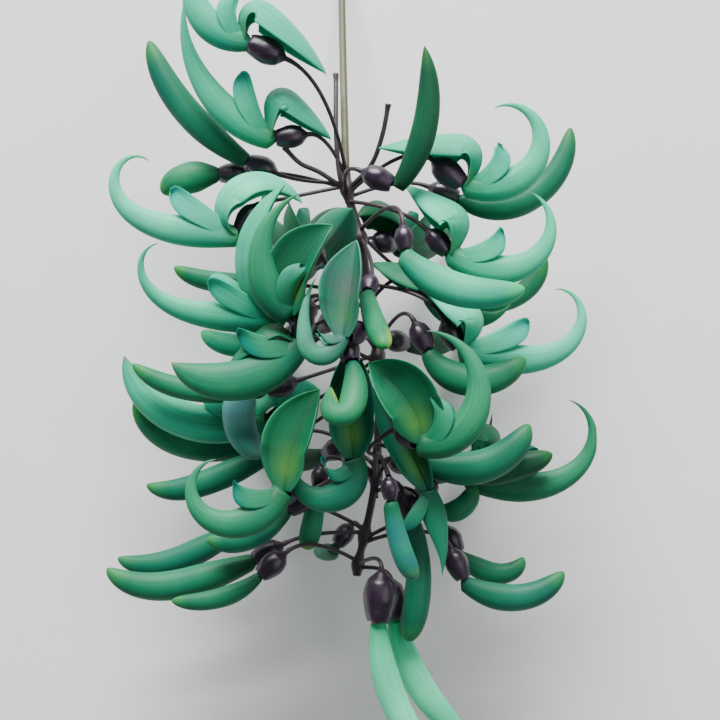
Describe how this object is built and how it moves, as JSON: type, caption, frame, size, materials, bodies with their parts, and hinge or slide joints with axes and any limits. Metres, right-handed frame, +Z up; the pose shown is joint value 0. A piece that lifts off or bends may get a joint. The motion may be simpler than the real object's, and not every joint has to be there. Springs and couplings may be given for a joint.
{
  "type": "cut jade vine raceme",
  "caption": "Cut hanging raceme of a jade vine laid on its back: claw-shaped blue-green flowers and buds on dark stalks round a slender axis, with a length of woody stem.",
  "frame": {"origin": "on the surface the raceme lies on, under the middle of its box", "axes": "+Z up from the surface, +Y along the raceme towards the cut end of its stem, +X to the right as the picture shows it"},
  "size_m": [0.2182, 0.3912, 0.1265],
  "materials": {
    "petals": "waxy satin",
    "calyces": "satin",
    "stem": "matte"
  },
  "bodies": {
    "root": {"stem": "stem", "rachis": "calyces", "bloom_01": "petals", "bloom_02": "petals", "bud_03": "petals", "bloom_04": "petals", "bud_05": "petals", "bud_06": "petals", "bloom_07": "petals", "bud_08": "petals", "bloom_09": "petals", "bud_11": "petals", "bud_12": "petals", "bloom_14": "petals", "bud_15": "petals", "bloom_17": "petals", "bud_18": "petals", "bud_19": "petals", "bloom_20": "petals", "bloom_21": "petals", "bloom_22": "petals", "bud_23": "petals", "bud_24": "petals", "bloom_25": "petals", "bud_26": "petals", "bud_27": "petals", "bloom_28": "petals", "bud_29": "petals", "bloom_30": "petals", "bud_31": "petals", "bud_32": "petals", "bud_33": "petals", "bloom_35": "petals", "bud_36": "petals", "bud_37": "petals", "bud_38": "petals", "bud_39": "petals", "bloom_40": "petals", "bud_41": "petals", "bud_42": "petals", "bud_43": "petals", "bud_44": "petals", "bloom_45": "petals", "bud_46": "petals", "bud_47": "petals", "bud_48": "petals", "bud_50": "petals", "bud_51": "petals", "bloom_52": "petals", "bloom_53": "petals", "bloom_60": "petals", "bloom_61": "petals", "bud_62": "petals", "bud_63": "petals", "bud_64": "petals", "bloom_65": "petals"}
  },
  "joints": []
}
